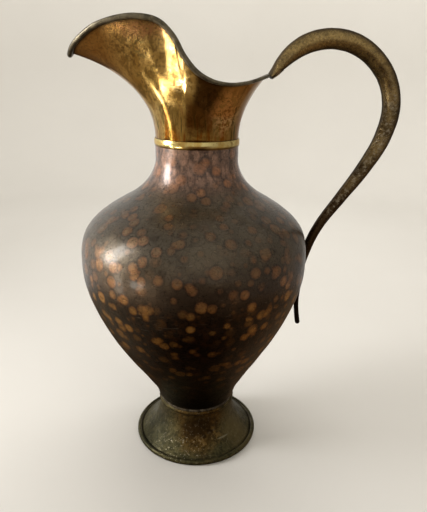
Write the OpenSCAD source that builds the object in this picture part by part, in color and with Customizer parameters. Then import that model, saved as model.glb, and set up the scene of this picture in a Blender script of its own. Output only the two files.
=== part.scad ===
// Tall hand-raised water jug: a copper body on a brass foot, a helmet-shaped brass spout
// and a tapered tube handle. The origin is on the jug's axis, at the plane it stands on.
// The spout points along -X and the handle along +X.

/* [Body] */
// Greatest outer radius of the belly
belly_r = 178.5; // [168:0.5:188]
// Height of the copper body, from the foot's top to the neck's lip
body_h = 443; // [430:1:460]
// Outer radius of the neck's straight top
neck_r = 63; // [61:0.5:66]
// Thickness of the copper sheet
copper_t = 1.5; // [1:0.1:2]
// Height of the lap where the two halves of the body meet
lap_h = 12; // [8:1:20]

/* [Foot] */
// Outer radius of the foot's rolled edge
foot_r = 107; // [104:0.5:112]
// Height of the foot's top, where the body stands on it
foot_h = 74; // [70:1:80]
// Outer radius of the foot's waist
waist_r = 63; // [60:0.5:64]
// Thickness of the foot's sheet
foot_t = 1.8; // [1.4:0.1:2.2]
// Radius of the rolled edge
foot_roll_r = 4.7; // [4:0.1:5.5]

/* [Neck ring] */
// Height of the rounded band round the neck's joint
ring_h = 11; // [9:0.5:13]
// How far the band stands out from the neck
ring_out = 1.4; // [1:0.1:2.2]

/* [Spout] */
// Thickness of the spout's sheet
spout_t = 1.1; // [0.9:0.1:1.4]
// Radius of the wire inside the rim's roll, at the front
rim_wire_r = 2.5; // [2.1:0.1:2.7]
// How much lower the hand-worked rim lies behind the mouth on its +Y side
rim_uneven = 7.5; // [0:0.5:9]
// Length of the tail that slips into the copper neck
tail_h = 14; // [8:1:20]

/* [Handle] */
// Wall thickness of the handle's tube
handle_t = 1.2; // [0.8:0.1:1.6]
// Sideways width of the handle against its height in side view
handle_width = 1; // [0.9:0.05:1.15]

/* [Quality] */
// Facets round the handle's tube
tube_sides = 20; // [16:2:24]
// Points round the spout for each of its stations
rim_steps = 2; // [2:1:3]

/* [Hidden] */
$fn = 128;

// Gap left between two pieces that touch
fit = 0.1;
copper = [0.30, 0.17, 0.10];
brass = [0.78, 0.58, 0.22];
bronze = [0.42, 0.36, 0.22];
verdigris = [0.33, 0.34, 0.25];
solder = [0.62, 0.60, 0.54];

neck_top = foot_h + body_h;
// Share of the body's height and of the belly's radius, from the foot to the neck
body_stations = [
    [0.02, 0.37], [0.054, 0.397], [0.12, 0.489], [0.221, 0.649], [0.32, 0.792], [0.422, 0.908],
    [0.521, 0.984], [0.59, 1], [0.656, 0.989], [0.696, 0.958], [0.73, 0.896], [0.761, 0.805],
    [0.794, 0.68], [0.826, 0.546], [0.858, 0.452], [0.893, 0.39]];
// Index of the belly's station, where the two halves are joined
seam_station = 7;
floor_r = 57;
corner_r = 6;

// Radius and height along the foot's upper face, from the waist to the roll
foot_stations = [
    [waist_r, foot_h - 6], [waist_r + 0.6, foot_h - 14], [waist_r + 3.6, foot_h - 27],
    [waist_r + 10, foot_h - 41], [waist_r + 20, foot_h - 53], [foot_r - 15, 12.6],
    [foot_r - 9, 7.4], [foot_r - foot_roll_r, 1.6]];
foot_roll_z = foot_roll_r - 0.2;
foot_flange_r = 50;
collar_h = 9.5;
collar_out = 3;
// How far the collar reaches above the foot's top
collar_rise = 2.5;

// The rim, half of it, from the handle round to the tip: place of the roll's middle (x, y, and
// height above the copper neck), plan direction and rise of the sheet where it reaches the roll,
// in degrees, how far the sheet keeps the neck's direction (below) and the rim's (above), the
// share of the wire's full radius, and the share of rim_uneven
rim_stations = [
    [103, 0, 95, 0, 47, 36, 30, 0.55, 0], [96, 34, 94.5, 22, 50, 36, 30, 0.53, 0.75],
    [83, 53, 91.5, 37, 54, 36, 31, 0.5, 1], [62, 69, 86.5, 52, 59, 36, 32, 0.5, 0.75],
    [36, 78, 84, 69, 64, 36, 33, 0.55, 0.05], [12, 82, 88, 84, 67, 38, 35, 0.7, 0],
    [-9, 83.5, 99, 97, 69, 42, 38, 0.9, 0], [-26, 83.5, 118, 107, 70, 47, 42, 1, 0],
    [-40, 82, 142, 116, 71, 51, 47, 1, 0], [-57, 78.5, 158, 126, 71, 54, 51, 1, 0],
    [-84, 72.5, 164, 139, 69, 56, 54, 1, 0], [-114, 62, 161, 151, 63, 58, 56, 1, 0],
    [-139, 50, 153, 159, 55, 59, 58, 1, 0], [-159, 33, 140.5, 167, 43, 60, 60, 1, 0],
    [-172.5, 15.5, 128, 174, 27, 61, 61, 1, 0], [-177.5, 0, 119, 180, 15, 61, 61, 1, 0]];
sheet_steps = 10;
roll_steps = 7;
// Angle through which the rim is rolled round its wire
roll_angle = 292;

// The handle's middle line, from the rim round to the tail: x, height above the copper neck,
// half height in side view and half width across
handle_stations = [
    [107.4, 94.3, 3, 15], [115.8, 102.8, 6.2, 14.8], [123.3, 111.4, 9, 14.2],
    [134.5, 122.7, 11.5, 13.8], [154, 136.6, 13.6, 14.2], [197, 147.8, 14.6, 14.6],
    [236.6, 141, 14.6, 14.6], [271, 119, 14.3, 14.3], [295.2, 86, 14, 14],
    [303.7, 48, 13.8, 13.8], [295.8, 6.8, 13.1, 13.1], [270.2, -42.5, 11.4, 11.5],
    [238, -89.8, 9.3, 9.5], [205.5, -137.7, 7.7, 8.4], [194, -162, 7.4, 8.2],
    [187.3, -182, 7.2, 7.8], [183.4, -200, 5.6, 7.2], [180.5, -222, 4.9, 6],
    [178.6, -247, 4.5, 5], [177.6, -272, 4.1, 4.4], [178.8, -290, 4.1, 4.2],
    [181, -305, 4.2, 4.2], [182.4, -313, 4.2, 4.2]];
handle_steps = 3;
// Rings left solid where the tube's upper end is pinched flat
pinched_rings = 2;

// ---- Curves -------------------------------------------------------------------------------

// A smooth curve through points of any dimension: each tangent is the parabola's through its
// neighbours
function span(p, i) = norm(p[i + 1] - p[i]);
function slope(p, i) = (p[i + 1] - p[i]) / span(p, i);
function tangent(p, i) =
    i == 0 ? slope(p, 0) :
    i == len(p) - 1 ? slope(p, i - 1) :
    (slope(p, i) * span(p, i - 1) + slope(p, i - 1) * span(p, i)) / (span(p, i) + span(p, i - 1));
function on_span(p, i, s) =
    p[i] * (1 + 2 * s) * (1 - s) ^ 2 + p[i + 1] * s ^ 2 * (3 - 2 * s)
    + span(p, i) * (tangent(p, i) * s * (1 - s) ^ 2 - tangent(p, i + 1) * s ^ 2 * (1 - s));
function smooth(p, steps, first = 0, last = undef) =
    let (end = is_undef(last) ? len(p) - 1 : last)
    [for (i = [first : end - 1]) for (k = [0 : steps - 1]) on_span(p, i, k / steps), p[end]];

function reversed(p) = [for (i = [len(p) - 1 : -1 : 0]) p[i]];
function unit(v) = v / norm(v);

// A flat path moved sideways by d, to its left
function beside(p, d) =
    [for (i = [0 : len(p) - 1])
        let (t = unit(p[min(i + 1, len(p) - 1)] - p[max(i - 1, 0)]))
        p[i] + d * [-t[1], t[0]]];

// The section of a sheet that follows a flat path, between two distances to its left
module sheet(path, near, far) {
    polygon(concat(beside(path, near), reversed(beside(path, far))));
}

module half_round(r, z, h, out) {
    intersection() {
        translate([r + out - h / 2, z]) circle(r = h / 2);
        translate([r, z - h / 2]) square([h, h]);
    }
}

// ---- Copper body --------------------------------------------------------------------------

function body_point(s) = [s[1] * belly_r, foot_h + s[0] * body_h];
neck_straight = [[neck_r + 0.6, neck_top - 31], [neck_r, neck_top - 16], [neck_r, neck_top]];
body_curve = concat([for (s = body_stations) body_point(s)], neck_straight);
body_steps = 3;
corner = [for (a = [-90 : 15 : -15])
    [floor_r + corner_r * cos(a), foot_h + corner_r * (1 + sin(a))]];
body_path = concat([[0, foot_h]], corner, smooth(body_curve, body_steps));
seam_index = 1 + len(corner) + seam_station * body_steps;
seam_z = body_path[seam_index][1];

// A flat point on the body's path at a given height, between two of its points
function path_at(z) =
    let (i = max([for (k = [0 : len(body_path) - 2]) body_path[k][1] <= z ? k : 0]),
         a = body_path[i],
         b = body_path[i + 1])
    a + (b - a) * (z - a[1]) / (b[1] - a[1]);
lap_low = path_at(seam_z - lap_h / 2);
lap_high = path_at(seam_z + lap_h / 2);
below_lap = concat([for (p = body_path) if (p[1] < lap_low[1] - 1) p], [lap_low]);
above_lap = concat([lap_high], [for (p = body_path) if (p[1] > lap_high[1] + 1) p]);
seam_point = path_at(seam_z);
in_lap = [lap_low, seam_point, lap_high];

// The lower half's rim is stepped inward, and lies inside the upper half's
module body_lower() {
    color(copper)
    rotate_extrude()
    polygon(concat(
        below_lap,
        beside(in_lap, copper_t / 2 + fit / 2),
        reversed(beside(concat(below_lap, [seam_point, lap_high]), copper_t))));
}

module body_upper() {
    color(copper)
    rotate_extrude()
    polygon(concat(
        [lap_low, seam_point],
        above_lap,
        reversed(beside(above_lap, copper_t)),
        reversed(beside(in_lap, copper_t / 2 - fit / 2))));
}

// ---- Foot ---------------------------------------------------------------------------------

foot_corner_r = 6;
foot_corner = [for (a = [90 : -15 : 15])
    [waist_r - foot_corner_r * (1 - cos(a)), foot_h - foot_corner_r * (1 - sin(a))]];
foot_path = concat([[foot_flange_r, foot_h]], foot_corner, smooth(foot_stations, 4));
foot_roll_mid = [foot_r - foot_roll_r, foot_roll_z];

module foot() {
    color(verdigris)
    rotate_extrude()
    difference() {
        union() {
            difference() {
                sheet(foot_path, -foot_t, 0);
                translate([foot_roll_mid[0] - 1, -foot_roll_r]) square([20, 30]);
            }
            translate(foot_roll_mid) circle(r = foot_roll_r);
        }
        translate(foot_roll_mid) circle(r = foot_roll_r - foot_t);
        translate([0, -30]) square([200, 30]);
    }
}

module foot_edge_wire() {
    color(bronze)
    rotate_extrude()
    translate(foot_roll_mid) circle(r = foot_roll_r - foot_t - fit);
}

module collar_section() {
    half_round(waist_r + fit, foot_h - collar_h / 2 + collar_rise, collar_h, collar_out);
}

module foot_collar() {
    color(verdigris)
    rotate_extrude() collar_section();
}

// Solder that fills the groove between the body, the foot and the collar
module foot_solder() {
    color(solder)
    rotate_extrude()
    difference() {
        polygon([[waist_r - 4, foot_h - 5], [waist_r, foot_h - 5], [waist_r + 1.6, foot_h + 2],
                 [waist_r + 0.6, foot_h + 5.5], [waist_r - 4, foot_h + 5.5]]);
        polygon(concat([[0, foot_h]], below_lap, [[0, seam_z]]));
        translate([waist_r - foot_corner_r, foot_h - foot_corner_r]) circle(r = foot_corner_r);
        offset(delta = fit) collar_section();
    }
}

// ---- Neck joint ---------------------------------------------------------------------------

ring_mid = neck_top + 1.2;
ring_edge = 0.4;
// Radius of the arc that the band's face follows, and the middle of that arc
ring_swell = ring_out - ring_edge;
ring_arc = (ring_h * ring_h / 4 + ring_swell * ring_swell) / (2 * ring_swell);
ring_arc_mid = neck_r + fit + ring_out - ring_arc;

module neck_ring() {
    color(brass)
    rotate_extrude()
    intersection() {
        translate([ring_arc_mid, ring_mid]) circle(r = ring_arc);
        translate([neck_r + fit, ring_mid - ring_h / 2]) square([ring_out + 1, ring_h]);
    }
}

// Solder between the neck's lip, the band and the cone of the spout's sheet
module neck_solder() {
    top = ring_h / 2;
    lean = (spout_base_r - spout_tail_r) / (spout_start - neck_top);
    color(solder)
    rotate_extrude()
    translate([0, fit / 2])
    polygon([[spout_tail_r + 2 * fit, neck_top], [neck_r, neck_top], [neck_r, neck_top + top],
             [spout_tail_r + 2 * fit + lean * top, neck_top + top]]);
}

// ---- Spout --------------------------------------------------------------------------------

spout_bottom = neck_top - tail_h;
spout_tail_r = neck_r - copper_t - fit;
spout_base_r = neck_r - 0.4;
spout_start = ring_mid + ring_h / 2 + 0.3;

function lowered(s) = [s[0], s[1], s[2] - rim_uneven * s[8], s[3], s[4], s[5], s[6], s[7]];
function mirrored(s, turn = 360) = [s[0], -s[1], s[2], turn - s[3], s[4], s[5], s[6], s[7]];
last_station = len(rim_stations) - 1;
// The whole rim with one station more past each end of the loop, so that it closes smoothly
rim_loop = concat(
    [mirrored(rim_stations[1], 0)],
    [for (s = rim_stations) lowered(s)],
    [for (i = [last_station - 1 : -1 : 0]) mirrored(rim_stations[i])],
    [lowered(rim_stations[1]) + [0, 0, 0, 360, 0, 0, 0, 0]]);
rim_count = 2 * last_station * rim_steps;
rim_all = smooth(rim_loop, rim_steps, 1, 2 * last_station + 1);
function rim_place(j) =
    let (s = rim_all[(j + rim_count) % rim_count])
    [s[0], s[1], neck_top + s[2]];
function rim_along(j) = unit(rim_place(j + 1) - rim_place(j - 1));
function sheet_rise(j) =
    let (s = rim_all[j])
    [cos(s[3]) * cos(s[4]), sin(s[3]) * cos(s[4]), sin(s[4])];
function rim_outward(j) = unit(cross(rim_along(j), sheet_rise(j)));
function wire_r(j) = rim_wire_r * rim_all[j][7];

function bezier(a, b, c, d, t) =
    a * (1 - t) ^ 3 + 3 * b * t * (1 - t) ^ 2 + 3 * c * t ^ 2 * (1 - t) + d * t ^ 3;
// The sheet's outer face at rim point j, from the neck up to the roll
function outer_line(j) =
    let (s = rim_all[j],
         a = atan2(s[1], s[0]),
         base = [spout_base_r * cos(a), spout_base_r * sin(a), spout_start],
         tip = rim_place(j) - (wire_r(j) + fit) * rim_outward(j))
    concat(
        [[spout_tail_r * cos(a), spout_tail_r * sin(a), spout_bottom],
         [spout_tail_r * cos(a), spout_tail_r * sin(a), neck_top]],
        [for (k = [0 : sheet_steps])
            bezier(base, base + [0, 0, s[5]], tip - s[6] * sheet_rise(j), tip, k / sheet_steps)]);
outer_lines = [for (j = [0 : rim_count - 1]) outer_line(j)];
line_len = len(outer_lines[0]);

// Outward normal of the sheet, square to its lines along and across
function sheet_normal(j, k) =
    let (next = outer_lines[(j + 1) % rim_count],
         last = outer_lines[(j + rim_count - 1) % rim_count],
         line = outer_lines[j])
    unit(cross(next[k] - last[k], line[min(k + 1, line_len - 1)] - line[max(k - 1, 0)]));

function roll_arc(j, r) =
    let (out = rim_outward(j),
         up = cross(out, rim_along(j)))
    [for (k = [1 : roll_steps])
        let (a = roll_angle * k / roll_steps)
        rim_place(j) + r * (-cos(a) * out + sin(a) * up)];

function spout_section(j) =
    let (roll_in = wire_r(j) + fit,
         roll_out = roll_in + spout_t,
         inner_end = rim_place(j) - roll_out * rim_outward(j))
    concat(
        outer_lines[j],
        roll_arc(j, roll_in),
        reversed(roll_arc(j, roll_out)),
        [inner_end],
        [for (k = [line_len - 2 : -1 : 1]) outer_lines[j][k] - spout_t * sheet_normal(j, k)],
        [outer_lines[j][0] - spout_t * unit([outer_lines[j][0][0], outer_lines[j][0][1], 0])]);

// A solid ring whose closed section changes as it goes round
module ring_of(sections) {
    n = len(sections);
    m = len(sections[0]);
    polyhedron(
        points = [for (s = sections) each s],
        faces = [for (j = [0 : n - 1]) for (k = [0 : m - 1])
            let (a = j * m + k,
                 b = j * m + (k + 1) % m,
                 c = ((j + 1) % n) * m + (k + 1) % m,
                 d = ((j + 1) % n) * m + k)
            each [[a, b, c], [a, c, d]]]);
}

module spout() {
    color(brass)
    ring_of([for (j = [0 : rim_count - 1]) spout_section(j)]);
}

wire_sides = 10;

module rim_wire() {
    color(bronze)
    ring_of([for (j = [0 : rim_count - 1])
        let (out = rim_outward(j),
             up = cross(out, rim_along(j)))
        [for (k = [0 : wire_sides - 1])
            let (a = -360 * k / wire_sides)
            rim_place(j) + wire_r(j) * cos(180 / wire_sides) * (-cos(a) * out + sin(a) * up)]]);
}

// ---- Handle -------------------------------------------------------------------------------

handle_line = smooth(handle_stations, handle_steps);
handle_last = len(handle_line) - 1;

function handle_mid(i) = [handle_line[i][0], 0, neck_top + handle_line[i][1]];
function handle_along(i) =
    unit(handle_mid(min(i + 1, handle_last)) - handle_mid(max(i - 1, 0)));
// One ring of points round the handle's middle line, inset from its surface
function handle_ring(i, inset) =
    let (along = handle_along(i),
         up = cross(along, [0, 1, 0]))
    [for (k = [0 : tube_sides - 1])
        let (a = 360 * k / tube_sides)
        handle_mid(i) + (handle_line[i][2] - inset) * sin(a) * up
            + (handle_line[i][3] * handle_width - inset) * cos(a) * [0, 1, 0]];

// A tube that is shut at its first end and open at its last
module shut_tube(outer, inner) {
    m = len(outer[0]);
    n = len(outer);
    q = len(inner);
    first_inner = n * m;
    polyhedron(
        points = concat([for (r = outer) each r], [for (r = inner) each r]),
        faces = concat(
            [for (j = [0 : n - 2]) for (k = [0 : m - 1])
                let (a = j * m + k, b = j * m + (k + 1) % m)
                each [[a, b + m, b], [a, a + m, b + m]]],
            [for (j = [0 : q - 2]) for (k = [0 : m - 1])
                let (a = first_inner + j * m + k, b = first_inner + j * m + (k + 1) % m)
                each [[a, b, b + m], [a, b + m, a + m]]],
            [for (k = [0 : m - 1])
                let (a = (n - 1) * m + k,
                     b = (n - 1) * m + (k + 1) % m,
                     c = first_inner + (q - 1) * m + k,
                     d = first_inner + (q - 1) * m + (k + 1) % m)
                each [[a, d, b], [a, c, d]]],
            [[for (k = [0 : m - 1]) k]],
            [[for (k = [m - 1 : -1 : 0]) first_inner + k]]));
}

module handle_tube() {
    color(bronze)
    shut_tube(
        [for (i = [0 : handle_last]) handle_ring(i, 0)],
        [for (i = [pinched_rings : handle_last]) handle_ring(i, handle_t)]);
}

// The rounded plug that shuts the tail: a spigot inside the tube and a domed end
plug_spigot = 8;
plug_dome = 4.2;

module handle_tip_plug() {
    end = handle_mid(handle_last);
    along = handle_along(handle_last);
    color(bronze)
    translate(end)
    rotate([0, 90 - atan2(along[2], along[0]), 0]) {
        intersection() {
            sphere(r = plug_dome);
            translate([-10, -10, 0]) cube(20);
        }
        translate([0, 0, -plug_spigot]) cylinder(r = plug_dome - handle_t - 0.35, h = plug_spigot + 1);
    }
}

// A strap brazed under the rim's roll and under the handle's pinched end
tongue_w = 14;
tongue_t = 1.8;
tongue_last = 4;

module rim_tongue() {
    under = [for (i = [0 : tongue_last])
        let (along = handle_along(i), up = cross(along, [0, 1, 0]), m = handle_mid(i))
        [m[0], m[2]] - (handle_line[i][2] + fit) * [up[0], up[2]]];
    color(brass)
    rotate([90, 0, 0])
    translate([0, 0, -tongue_w / 2])
    linear_extrude(tongue_w)
    sheet(under, -tongue_t, 0);
}

// A closed solid through a row of sections
module rod(sections) {
    m = len(sections[0]);
    n = len(sections);
    polyhedron(
        points = [for (s = sections) each s],
        faces = concat(
            [for (j = [0 : n - 2]) for (k = [0 : m - 1])
                let (a = j * m + k, b = j * m + (k + 1) % m)
                each [[a, b + m, b], [a, a + m, b + m]]],
            [[for (k = [0 : m - 1]) k]],
            [[for (k = [m - 1 : -1 : 0]) (n - 1) * m + k]]));
}

// Brazing metal in the crevice between the handle and the belly
braze_low = neck_top - 206;
braze_high = neck_top - 178;
braze_r = 9;

module belly_braze() {
    first = 14 * handle_steps;
    last = 18 * handle_steps;
    color(solder)
    difference() {
        translate([182, 0, braze_low]) cylinder(r = braze_r, h = braze_high - braze_low);
        rotate_extrude() polygon(concat([[0, foot_h]], body_path, [[0, neck_top]]));
        rod([for (i = [first : last]) handle_ring(i, -fit)]);
        translate([184, -15, braze_low - 1]) cube([20, 30, braze_high - braze_low + 2]);
    }
}

body_lower();
body_upper();
foot();
foot_edge_wire();
foot_collar();
foot_solder();
neck_ring();
neck_solder();
spout();
rim_wire();
rim_tongue();
handle_tube();
handle_tip_plug();
belly_braze();
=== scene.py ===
"""A tall copper and brass water jug: the visual model, in metres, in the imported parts' frame."""
import math

import bpy
import numpy as np
from mathutils import Matrix, Vector, noise


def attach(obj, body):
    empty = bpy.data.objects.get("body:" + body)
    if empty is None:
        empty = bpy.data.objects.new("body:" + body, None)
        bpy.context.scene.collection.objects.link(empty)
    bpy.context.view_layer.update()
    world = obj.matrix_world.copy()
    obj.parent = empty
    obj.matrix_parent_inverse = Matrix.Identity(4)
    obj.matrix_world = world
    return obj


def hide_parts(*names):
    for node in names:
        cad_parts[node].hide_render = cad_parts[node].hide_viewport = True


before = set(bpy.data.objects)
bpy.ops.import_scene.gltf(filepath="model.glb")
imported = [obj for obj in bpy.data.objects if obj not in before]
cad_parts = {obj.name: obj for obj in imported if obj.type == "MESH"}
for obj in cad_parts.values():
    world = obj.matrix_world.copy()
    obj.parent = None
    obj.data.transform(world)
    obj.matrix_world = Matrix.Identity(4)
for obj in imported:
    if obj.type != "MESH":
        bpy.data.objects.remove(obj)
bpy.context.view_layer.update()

MM = 0.001

# ---- Dimensions, in millimetres, the same as in the CAD source --------------------------------

BELLY_R = 178.5
BODY_H = 443.0
NECK_R = 63.0
COPPER_T = 1.5
FOOT_R = 107.0
FOOT_H = 74.0
WAIST_R = 63.0
FOOT_T = 1.8
FOOT_ROLL_R = 4.7
FOOT_FLANGE_R = 50.0
FOOT_CORNER_R = 6.0
COLLAR_R = 4.75
COLLAR_OUT = 3.0
COLLAR_RISE = 2.5
RING_H = 11.0
RING_OUT = 1.4
RING_EDGE = 0.4
RING_RISE = 1.2
SPOUT_T = 1.1
WIRE_R = 2.5
RIM_UNEVEN = 7.5
TAIL_H = 14.0
HANDLE_T = 1.2
PLUG_R = 4.2
BRAZE_LOW = 206.0
BRAZE_HIGH = 178.0
FIT = 0.1
NECK_TOP = FOOT_H + BODY_H
FLOOR_R = 57.0
CORNER_R = 6.0

# How far the belly leans to the spout, and the heights between which it sets in and ends
BELLY_LEAN = 3.5
LEAN_IN = (75, 205)
LEAN_OUT = (345, 505)

# A hammer's marks: their size, their depth and the seed of their places
COPPER_HAMMER = (15.0, 0.30, 3.7)
FOOT_HAMMER = (19.0, 0.28, 8.1)
SPOUT_HAMMER = (17.0, 0.10, 5.3)
HANDLE_HAMMER = (9.0, 0.5, 1.9)

# Points round each turned piece
BODY_SIDES = 336
FOOT_SIDES = 288
RING_SIDES = 288
BAND_SIDES = 240

# Share of the body's height, and share of its greatest radius
BODY_STATIONS = [
    (0.02, 0.37), (0.054, 0.397), (0.12, 0.489), (0.221, 0.649), (0.32, 0.792), (0.422, 0.908),
    (0.521, 0.984), (0.59, 1), (0.656, 0.989), (0.696, 0.958), (0.73, 0.896), (0.761, 0.805),
    (0.794, 0.68), (0.826, 0.546), (0.858, 0.452), (0.893, 0.39)]
FOOT_STATIONS = [
    (WAIST_R, FOOT_H - 6), (WAIST_R + 0.6, FOOT_H - 14), (WAIST_R + 3.6, FOOT_H - 27),
    (WAIST_R + 10, FOOT_H - 41), (WAIST_R + 20, FOOT_H - 53), (FOOT_R - 15, 12.6),
    (FOOT_R - 9, 7.4), (FOOT_R - FOOT_ROLL_R, 1.6)]
# x, y and height of the roll's middle, direction and rise of the sheet, its two handle lengths,
# share of the wire's radius, share of the uneven drop
RIM_STATIONS = [
    (103, 0, 95, 0, 47, 36, 30, 0.55, 0), (96, 34, 94.5, 22, 50, 36, 30, 0.53, 0.75),
    (83, 53, 91.5, 37, 54, 36, 31, 0.5, 1), (62, 69, 86.5, 52, 59, 36, 32, 0.5, 0.75),
    (36, 78, 84, 69, 64, 36, 33, 0.55, 0.05), (12, 82, 88, 84, 67, 38, 35, 0.7, 0),
    (-9, 83.5, 99, 97, 69, 42, 38, 0.9, 0), (-26, 83.5, 118, 107, 70, 47, 42, 1, 0),
    (-40, 82, 142, 116, 71, 51, 47, 1, 0), (-57, 78.5, 158, 126, 71, 54, 51, 1, 0),
    (-84, 72.5, 164, 139, 69, 56, 54, 1, 0), (-114, 62, 161, 151, 63, 58, 56, 1, 0),
    (-139, 50, 153, 159, 55, 59, 58, 1, 0), (-159, 33, 140.5, 167, 43, 60, 60, 1, 0),
    (-172.5, 15.5, 128, 174, 27, 61, 61, 1, 0), (-177.5, 0, 119, 180, 15, 61, 61, 1, 0)]
# x and height of the tube's middle, half its thickness, half its width
HANDLE_STATIONS = [
    (107.4, 94.3, 3, 15), (115.8, 102.8, 6.2, 14.8), (123.3, 111.4, 9, 14.2),
    (134.5, 122.7, 11.5, 13.8), (154, 136.6, 13.6, 14.2), (197, 147.8, 14.6, 14.6),
    (236.6, 141, 14.6, 14.6), (271, 119, 14.3, 14.3), (295.2, 86, 14, 14),
    (303.7, 48, 13.8, 13.8), (295.8, 6.8, 13.1, 13.1), (270.2, -42.5, 11.4, 11.5),
    (238, -89.8, 9.3, 9.5), (205.5, -137.7, 7.7, 8.4), (194, -162, 7.4, 8.2),
    (187.3, -182, 7.2, 7.8), (183.4, -200, 5.6, 7.2), (180.5, -222, 4.9, 6),
    (178.6, -247, 4.5, 5), (177.6, -272, 4.1, 4.4), (178.8, -290, 4.1, 4.2),
    (181, -305, 4.2, 4.2), (182.4, -313, 4.2, 4.2)]


# ---- Curves -----------------------------------------------------------------------------------

def smooth(points, steps, first=0, last=None):
    """A smooth curve through points of any dimension; each tangent is a parabola's."""
    p = np.array(points, float)
    last = len(p) - 1 if last is None else last
    span = np.linalg.norm(np.diff(p, axis=0), axis=1)
    slope = np.diff(p, axis=0) / span[:, None]

    def tangent(i):
        if i == 0:
            return slope[0]
        if i == len(p) - 1:
            return slope[-1]
        return (slope[i] * span[i - 1] + slope[i - 1] * span[i]) / (span[i] + span[i - 1])

    out = []
    for i in range(first, last):
        a, b = tangent(i), tangent(i + 1)
        for k in range(steps):
            s = k / steps
            out.append(
                p[i] * (1 + 2 * s) * (1 - s) ** 2 + p[i + 1] * s * s * (3 - 2 * s)
                + span[i] * (a * s * (1 - s) ** 2 - b * s * s * (1 - s)))
    out.append(p[last])
    return np.array(out)


def beside(path, d):
    """A flat path moved to its left by d."""
    t = np.gradient(np.array(path, float), axis=0)
    t /= np.linalg.norm(t, axis=1)[:, None]
    return np.array(path) + d * np.c_[-t[:, 1], t[:, 0]]


def even(path, step):
    """A path's points again, evenly spaced about step apart."""
    path = np.array(path, float)
    run = np.r_[0, np.cumsum(np.linalg.norm(np.diff(path, axis=0), axis=1))]
    at = np.linspace(0, run[-1], max(2, int(round(run[-1] / step)) + 1))
    return np.c_[[np.interp(at, run, path[:, k]) for k in range(path.shape[1])]].T


def ease(x):
    x = min(max(x, 0.0), 1.0)
    return x * x * (3 - 2 * x)


def lean(z):
    """How far the hand-raised belly stands off the axis at a height, in mm."""
    begun = ease((z - LEAN_IN[0]) / (LEAN_IN[1] - LEAN_IN[0]))
    return -BELLY_LEAN * begun * (1 - ease((z - LEAN_OUT[0]) / (LEAN_OUT[1] - LEAN_OUT[0])))


# ---- Meshes -----------------------------------------------------------------------------------

def piece(name, points, faces, nodes, crease=35):
    """A mesh object from points in mm; it rides on the jug and stands for its CAD nodes."""
    mesh = bpy.data.meshes.new(name)
    mesh.from_pydata([tuple(p) for p in np.array(points) * MM], [], faces)
    mesh.validate()
    mesh.polygons.foreach_set("use_smooth", [True] * len(mesh.polygons))
    mesh.set_sharp_from_angle(angle=math.radians(crease))
    obj = bpy.data.objects.new(name, mesh)
    bpy.context.scene.collection.objects.link(obj)
    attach(obj, "root")
    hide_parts(*nodes)
    return obj


def grid_faces(rows, columns, wrap_rows=False, wrap_columns=True):
    """Quads over a grid of points numbered row by row."""
    faces = []
    for i in range(rows if wrap_rows else rows - 1):
        for j in range(columns if wrap_columns else columns - 1):
            a, b = i * columns + j, i * columns + (j + 1) % columns
            c, d = ((i + 1) % rows) * columns + (j + 1) % columns, ((i + 1) % rows) * columns + j
            faces.append((a, b, c, d))
    return faces


def end_caps(rows, columns):
    """The two faces that close a grid of points at its first and its last row."""
    last = (rows - 1) * columns
    return [tuple(range(columns))[::-1], tuple(last + k for k in range(columns))]


def hammered(x, y, z, size, depth, seed):
    """Shallow overlapping dents, as a planishing hammer leaves them, in mm."""
    p = Vector((x / size + seed, y / size, z / size))
    near = noise.voronoi(p, distance_metric="DISTANCE")[0]
    return depth * (near[0] * near[0] - 0.35) + depth * 0.8 * noise.noise(p * 0.45)


def lathe(name, loop, sides, nodes, worked=None, leaning=False, crease=35):
    """A closed (radius, height) loop turned round the axis; worked gives the extra radius."""
    points = []
    for r, z in loop:
        for k in range(sides):
            a = 2 * math.pi * k / sides
            x, y = r * math.cos(a), r * math.sin(a)
            if worked:
                s = 1 + worked(x, y, z) / max(r, 20)
                x, y = x * s, y * s
            points.append((x + (lean(z) if leaning else 0), y, z))
    faces = [f[::-1] for f in grid_faces(len(loop), sides, wrap_rows=True)]
    return piece(name, points, faces, nodes, crease)


# ---- Copper body ------------------------------------------------------------------------------

corner = [(FLOOR_R + CORNER_R * math.cos(math.radians(a)),
           FOOT_H + CORNER_R * (1 + math.sin(math.radians(a)))) for a in range(-90, -10, 15)]
body_curve = smooth(
    [(r * BELLY_R, FOOT_H + h * BODY_H) for h, r in BODY_STATIONS]
    + [(NECK_R + 0.6, NECK_TOP - 31), (NECK_R, NECK_TOP - 16), (NECK_R, NECK_TOP)], 12)
# The seam is at the widest station
SEAM_STATION = 7
SEAM_Z = FOOT_H + BODY_STATIONS[SEAM_STATION][0] * BODY_H
whole = np.vstack([[(2.0, FOOT_H)], corner, body_curve])
lower_part = even(whole[whole[:, 1] <= SEAM_Z + 0.01], 3.0)
upper_part = even(whole[whole[:, 1] >= SEAM_Z - 0.01], 3.0)
outer = np.vstack([lower_part, upper_part[1:]])


def planished(x, y, z):
    """The copper's hammer marks, none on the rims where it is joined."""
    edge = min(ease((z - FOOT_H - 6) / 14), ease((NECK_TOP - 6 - z) / 14))
    return edge * hammered(x, y, z, *COPPER_HAMMER)


def skin(part):
    """A sheet's section: its outer face, and its inner face with fewer points."""
    inner = beside(part, COPPER_T)[::-1]
    keep = [inner[0]] + list(inner[1:-1:3]) + [inner[-1]]
    return np.vstack([part, keep])


# The lower half's rim, stepped inward to lie inside the upper half
lap = even([(BELLY_R - 0.85, SEAM_Z), (BELLY_R - 1.0, SEAM_Z + 6)], 6)
lower_loop = np.vstack([lower_part, lap, skin(lower_part)[len(lower_part):]])
body_lower = lathe("body_lower_raised", lower_loop, BODY_SIDES, ["body_lower"],
                   planished, leaning=True)
body_upper = lathe("body_upper_raised", skin(upper_part), BODY_SIDES, ["body_upper"],
                   planished, leaning=True)

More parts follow.
